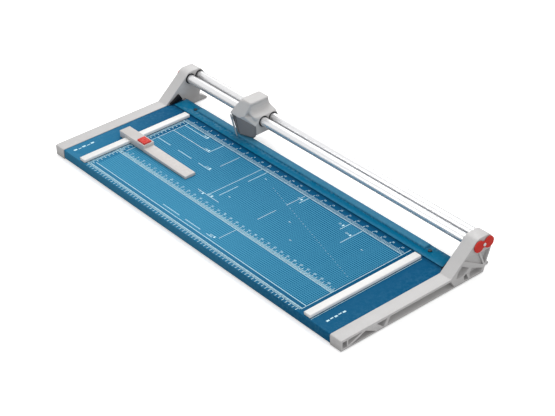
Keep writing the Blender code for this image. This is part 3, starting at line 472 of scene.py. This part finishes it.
def settle(obj, name, body, finish, replaced=(), angle=35):
    # place into the mesh, smooth shading, material, and the body it rides on
    pick(obj)
    bpy.ops.object.transform_apply(location=True, rotation=True, scale=True)
    bpy.ops.object.shade_smooth_by_angle(angle=math.radians(angle))
    obj.name = name
    obj.data.name = name
    obj.data.materials.clear()
    obj.data.materials.append(materials[finish])
    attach(obj, body)
    if replaced:
        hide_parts(*replaced)
    return obj


def join(objects):
    startAlone()
    for obj in objects:
        obj.select_set(True)
    bpy.context.view_layer.objects.active = objects[0]
    bpy.ops.object.join()
    return bpy.context.object


def mergedCopy(node, name):
    # a copy of a CAD piece whose loose triangles are merged
    obj = bpy.data.objects.new(name, cadNodes[node].data.copy())
    bpy.context.scene.collection.objects.link(obj)
    pick(obj)
    if obj.data.has_custom_normals:
        bpy.ops.mesh.customdata_custom_splitnormals_clear()
    bpy.ops.object.mode_set(mode="EDIT")
    bpy.ops.mesh.select_all(action="SELECT")
    bpy.ops.mesh.remove_doubles(threshold=copyValues["merge"])
    bpy.ops.object.mode_set(mode="OBJECT")
    return obj


def softCopy(node, name, body, finish, radius, segments=3, angle=30):
    # a merged copy of a CAD piece with its edges rounded
    obj = mergedCopy(node, name)
    bpy.ops.object.mode_set(mode="EDIT")
    bpy.ops.mesh.select_all(action="SELECT")
    bpy.ops.mesh.dissolve_limited(angle_limit=math.radians(copyValues["flatAngle"]))
    bpy.ops.object.mode_set(mode="OBJECT")
    applyModifier(obj, "BEVEL", width=radius, segments=segments, limit_method="ANGLE",
                  angle_limit=math.radians(angle), use_clamp_overlap=True)
    return settle(obj, name, body, finish, (node,))


def makeRod(radius, length, place, axis, sides, edge):
    bpy.ops.mesh.primitive_cylinder_add(vertices=sides, radius=radius, depth=length)
    obj = bpy.context.object
    obj.rotation_euler = Vector(axis).to_track_quat("Z", "Y").to_euler()
    obj.location = place
    selectFaces(obj, lambda centre, normal: abs(normal.z) > 0.9)
    bpy.ops.mesh.region_to_loop()
    bpy.ops.mesh.bevel(offset=edge, segments=3, affect="EDGES")
    bpy.ops.object.mode_set(mode="OBJECT")
    return obj


# frames
frameValues = {"rounding": 0.9 * mm, "guideRounding": 0.8 * mm, "capRounding": 0.5 * mm,
               "screwRounding": 0.2 * mm}


def makeFrames():
    v = frameValues
    for side in ("left", "right"):
        softCopy(f"{side}_end_frame", f"{side}Frame", "base", "castGrey", v["rounding"])
        softCopy(f"{side}_clamp_guide", f"{side}Guide", "base", "blackAcetal", v["guideRounding"])
        softCopy(f"{side}_end_cap", f"{side}Cap", "base", "signalRed", v["capRounding"])
        softCopy(f"{side}_cap_screw", f"{side}CapScrew", "base", "stopWhite", v["screwRounding"], 2)
    print("frames made")


# rails
railValues = {"wall": 1.7 * mm, "sides": 96, "edge": 0.5 * mm, "hollow": 12 * mm}


def makeRails():
    v = railValues
    for label in ("front", "rear"):
        low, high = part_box(f"{label}_rail")
        middle = (low + high) / 2
        rail = makeRod((high.z - low.z) / 2, high.x - low.x, middle, (1, 0, 0), v["sides"], v["edge"])
        selectFaces(rail, lambda centre, normal: abs(normal.z) > 0.99)
        bpy.ops.mesh.inset(thickness=v["wall"] - v["edge"], use_individual=True)
        bpy.ops.mesh.extrude_region_shrink_fatten(TRANSFORM_OT_shrink_fatten={"value": -v["hollow"]})
        bpy.ops.object.mode_set(mode="OBJECT")
        settle(rail, f"{label}Rail", "base", "railChrome", (f"{label}_rail",))
    print("rails made")


# table
tableValues = {"sheetRounding": 0.5 * mm, "knifeRounding": 0.25 * mm}


def makeTable():
    softCopy("table_sheet", "tableSheet", "base", "tableBlue", tableValues["sheetRounding"], 2)
    softCopy("lower_knife", "lowerKnife", "base", "groundSteel", tableValues["knifeRounding"], 2)
    print("table made")


# the print, in millimetres: along the rule from the left stop, and out from the cutting edge
inch = 25.4
printValues = {"lift": 0.05 * mm, "stroke": 1.2, "numberSize": 6.4 * mm, "numberCurve": 3,
               "inches": 27, "inchShift": 3.5, "inchOut": 47, "tensOut": 228}
upStrokes = {148: [(66, 106)], 210: [(69, 123)], 279.4: [(41, 211)], 297: [(66, 117), (143, 193)],
             420: [(66, 116), (143, 191), (246, 289)], 558.8: [(66, 93)], 594: [(66, 124)],
             431.8: [(66, 92)], 706: [(40, 318)], 742: [(46, 326)], 20: [(64, 245)]}
acrossStrokes = {74: [(20, 100)], 105: [(20, 149)], 148: [(20, 67), (94, 142), (167, 207)],
                 210: [(247, 317)], 297: [(244, 300), (320, 370), (389, 407)], 63.8: [(0, 706)],
                 244.8: [(0, 706)], 305.8: [(14, 706)], 315.8: [(2, 706)]}
# ticks: the first one, how many, their pitch, both ends and the width
tickRows = [(inch / 8, 221, inch / 8, 54.5, 63.8, 0.8), (inch, 27, inch, 50.5, 63.8, 1.3),
            (2, 352, 2, 236.5, 244.8, 0.8), (10, 70, 10, 231.5, 244.8, 1.2),
            (2, 352, 2, 316, 321.5, 0.8), (10, 70, 10, 316, 328, 1.2)]
tickColumns = [(66, 128, 2, 1, 8, 0.8), (70, 25, 10, 1, 14, 1.2)]
# numbers beside the formats' corners, each with a short bar
formatMarks = {(101, 70): "105", (145, 101): "148", (205, 144): "210", (292, 206): "297",
               (413, 293): "420", (270, 213): "11", (428, 80): "17", (556, 80): "22", (591, 93): "594"}
formatValues = {"bar": (4.5, 0.5), "half": 2.6, "number": 12}
# loose dots, each with a small bar behind it
smallMarks = [(314, 84), (315, 181), (358, 225), (120, 195), (180, 230), (470, 150), (520, 190), (640, 110)]
smallValues = {"dot": 1.1, "bar": (2.5, 4.0), "half": 0.8}
dashValues = {"count": 34, "first": (352, 95), "pitch": (10.1, 2.82), "length": 3.2, "half": 0.25}
# plain bars in the margins beyond both stops
barValues = {"count": 5, "out": 262, "left": (-62, -57), "leftPitch": 11, "leftHeight": 8, "leftShift": 3,
             "right": (764, 768), "rightPitch": 10, "rightHeight": 7, "rightShift": 1.5}


def flatPatch(start, end, near, far):
    field = printField()
    bpy.ops.mesh.primitive_plane_add(size=1, location=(field["left"] + (start + end) / 2 * mm,
                                                       field["cut"] - (near + far) / 2 * mm,
                                                       field["top"] + printValues["lift"]))
    patch = bpy.context.object
    patch.scale = (abs(end - start) * mm, abs(far - near) * mm, 1)
    bpy.ops.object.transform_apply(location=True, rotation=True, scale=True)
    return patch


def makeTicks(first, count, pitch, start, end, width, down=False):
    # one tick, repeated along the rule or out from the cut
    sides = (first - width / 2, first + width / 2)
    tick = flatPatch(start, end, *sides) if down else flatPatch(*sides, start, end)
    offset = (0, -pitch * mm, 0) if down else (pitch * mm, 0, 0)
    applyModifier(tick, "ARRAY", count=count, use_relative_offset=False, use_constant_offset=True,
                  constant_offset_displace=offset)
    return tick


def flatNumber(words, along, out):
    field = printField()
    bpy.ops.object.text_add(location=(field["left"] + along * mm, field["cut"] - out * mm,
                                      field["top"] + printValues["lift"]))
    number = bpy.context.object
    number.data.body = words
    number.data.size = printValues["numberSize"]
    number.data.align_x = "CENTER"
    number.data.align_y = "CENTER"
    number.data.resolution_u = printValues["numberCurve"]
    bpy.ops.object.convert(target="MESH")
    bpy.ops.object.transform_apply(location=True, rotation=True, scale=True)
    return bpy.context.object


def makeRules():
    v = printValues
    half = v["stroke"] / 2
    pieces = []
    for along, spans in upStrokes.items():
        pieces += [flatPatch(along - half, along + half, near, far) for near, far in spans]
    for out, spans in acrossStrokes.items():
        pieces += [flatPatch(start, end, out - half, out + half) for start, end in spans]
    pieces += [makeTicks(*row) for row in tickRows]
    pieces += [makeTicks(*column, down=True) for column in tickColumns]
    for count in range(1, v["inches"] + 1):
        pieces.append(flatNumber(str(count), count * inch + v["inchShift"], v["inchOut"]))
    for tens in range(2, 70, 2):
        pieces.append(flatNumber(str(tens), tens * 10, v["tensOut"]))
    return pieces


def makeMarks():
    pieces = []
    v = formatValues
    for (along, out), words in formatMarks.items():
        pieces.append(flatPatch(along - v["bar"][0], along - v["bar"][1], out - v["half"], out + v["half"]))
        pieces.append(flatNumber(words, along - v["number"], out))
    v = smallValues
    for along, out in smallMarks:
        pieces.append(flatPatch(along - v["dot"], along + v["dot"], out - v["dot"], out + v["dot"]))
        pieces.append(flatPatch(along + v["bar"][0], along + v["bar"][1], out - v["half"], out + v["half"]))
    v = dashValues
    for step in range(v["count"]):
        along, out = (first + step * pitch for first, pitch in zip(v["first"], v["pitch"]))
        pieces.append(flatPatch(along, along + v["length"], out - v["half"], out + v["half"]))
    v = barValues
    for step in range(v["count"]):
        odd = step % 2
        out = v["out"] + step * v["leftPitch"]
        pieces.append(flatPatch(v["left"][0] + v["leftShift"] * odd, v["left"][1], out,
                                out + v["leftHeight"]))
        out = v["out"] + step * v["rightPitch"]
        pieces.append(flatPatch(v["right"][0], v["right"][1] - v["rightShift"] * odd, out,
                                out + v["rightHeight"]))
    return pieces


def makePrint():
    startAlone()
    sheet = join(makeRules() + makeMarks())
    settle(sheet, "tablePrint", "base", "printWhite")
    print("print made")


# stops and the strip
stopValues = {"barRounding": 0.4 * mm, "postRounding": 0.3 * mm, "backstopRounding": 0.7 * mm,
              "buttonRounding": 0.5 * mm, "stripRounding": 0.35 * mm}


def makeStops():
    v = stopValues
    for side in ("left", "right"):
        softCopy(f"{side}_stop_bar", f"{side}Stop", "base", "stopWhite", v["barRounding"], 2)
        softCopy(f"{side}_clamp_post", f"{side}Post", "base", "blackSteel", v["postRounding"], 2)
    softCopy("backstop", "backstopBody", "backstop", "backstopGrey", v["backstopRounding"])
    softCopy("backstop_button", "releaseButton", "button", "signalRed", v["buttonRounding"])
    softCopy("clamp_strip", "clampStrip", "clamp", "clearBlue", v["stripRounding"], 2)
    print("stops made")


# springs, which the piece above presses together on the real cutter; here they are copied as they stand
springValues = {"left_clamp_spring": ("leftStripSpring", "base", "clamp_press", 1.0 * mm),
                "right_clamp_spring": ("rightStripSpring", "base", "clamp_press", 1.0 * mm),
                "button_spring": ("buttonSpring", "backstop", "button_press", 2.5 * mm)}


def makeSprings():
    for node, (name, body, joint, travel) in springValues.items():
        spring = settle(mergedCopy(node, name), name, body, "zincSteel", (node,), 60)
        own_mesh(spring)
    print("springs made")


# cutting head
headValues = {"voxel": 0.72 * mm, "smoothing": 3, "relax": 0.5, "swell": 0.3 * mm,
              "guardRounding": 0.3 * mm}


def mouldedCopy(node, name, body, finish):
    # a copy of a CAD piece, remeshed and relaxed so that every edge has a moulded radius
    obj = mergedCopy(node, name)
    applyModifier(obj, "REMESH", mode="VOXEL", voxel_size=headValues["voxel"])
    applyModifier(obj, "SMOOTH", factor=headValues["relax"], iterations=headValues["smoothing"])
    applyModifier(obj, "DISPLACE", strength=headValues["swell"], mid_level=0.0)
    return settle(obj, name, body, finish, (node,), 60)


def makeHead():
    mouldedCopy("head_housing", "headShell", "head", "headGrey")
    mouldedCopy("blade_cover", "headNose", "head", "noseGreyPaintedShade")
    softCopy("blade_guard", "headGuard", "head", "guardSteel", headValues["guardRounding"], 2)
    print("head made")


def dressCadPieces():
    # CAD pieces that stay get the full finish of their slot
    slotOf = {part["node"]: part["material_slot"] for part in frame["record"]["subparts"]}
    for node, obj in cadNodes.items():
        for place in obj.material_slots:
            place.material = materials[finishOfSlot[slotOf[node]]]


# floor
floorValues = {"size": 16, "colour": (0.97, 0.97, 0.97), "bounce": (0.38, 0.38, 0.38), "glow": 0.45,
               "roughness": 0.9}


def makeFloor():
    # bright to the camera, and grey to the light that comes back from it
    v = floorValues
    bpy.ops.mesh.primitive_plane_add(size=v["size"])
    floor = bpy.context.object
    floor.name = "paleFloor"
    paint = bpy.data.materials.new("floorWhite")
    paint.use_nodes = True
    tree = paint.node_tree
    shader = tree.nodes["Principled BSDF"]
    seen = tree.nodes.new("ShaderNodeLightPath").outputs["Is Camera Ray"]
    colour = addMix(tree, seen, v["bounce"], v["colour"])
    tree.links.new(colour, shader.inputs["Base Color"])
    glow = addMix(tree, seen, (0, 0, 0), v["colour"])
    tree.links.new(glow, shader.inputs["Emission Color"])
    shader.inputs["Emission Strength"].default_value = v["glow"]
    shader.inputs["Roughness"].default_value = v["roughness"]
    floor.data.materials.append(paint)


startAlone()
makeCamera()
makeLight()
groups = makeGrainGroup(), makeWearGroup(), makeDustGroup(), makeCreviceGroup()
for finishName in finishes:
    makeMaterial(finishName, *groups)
print("materials made")
makeFloor()
dressCadPieces()
makeFrames()
makeRails()
makeTable()
makePrint()
makeStops()
makeSprings()
makeHead()
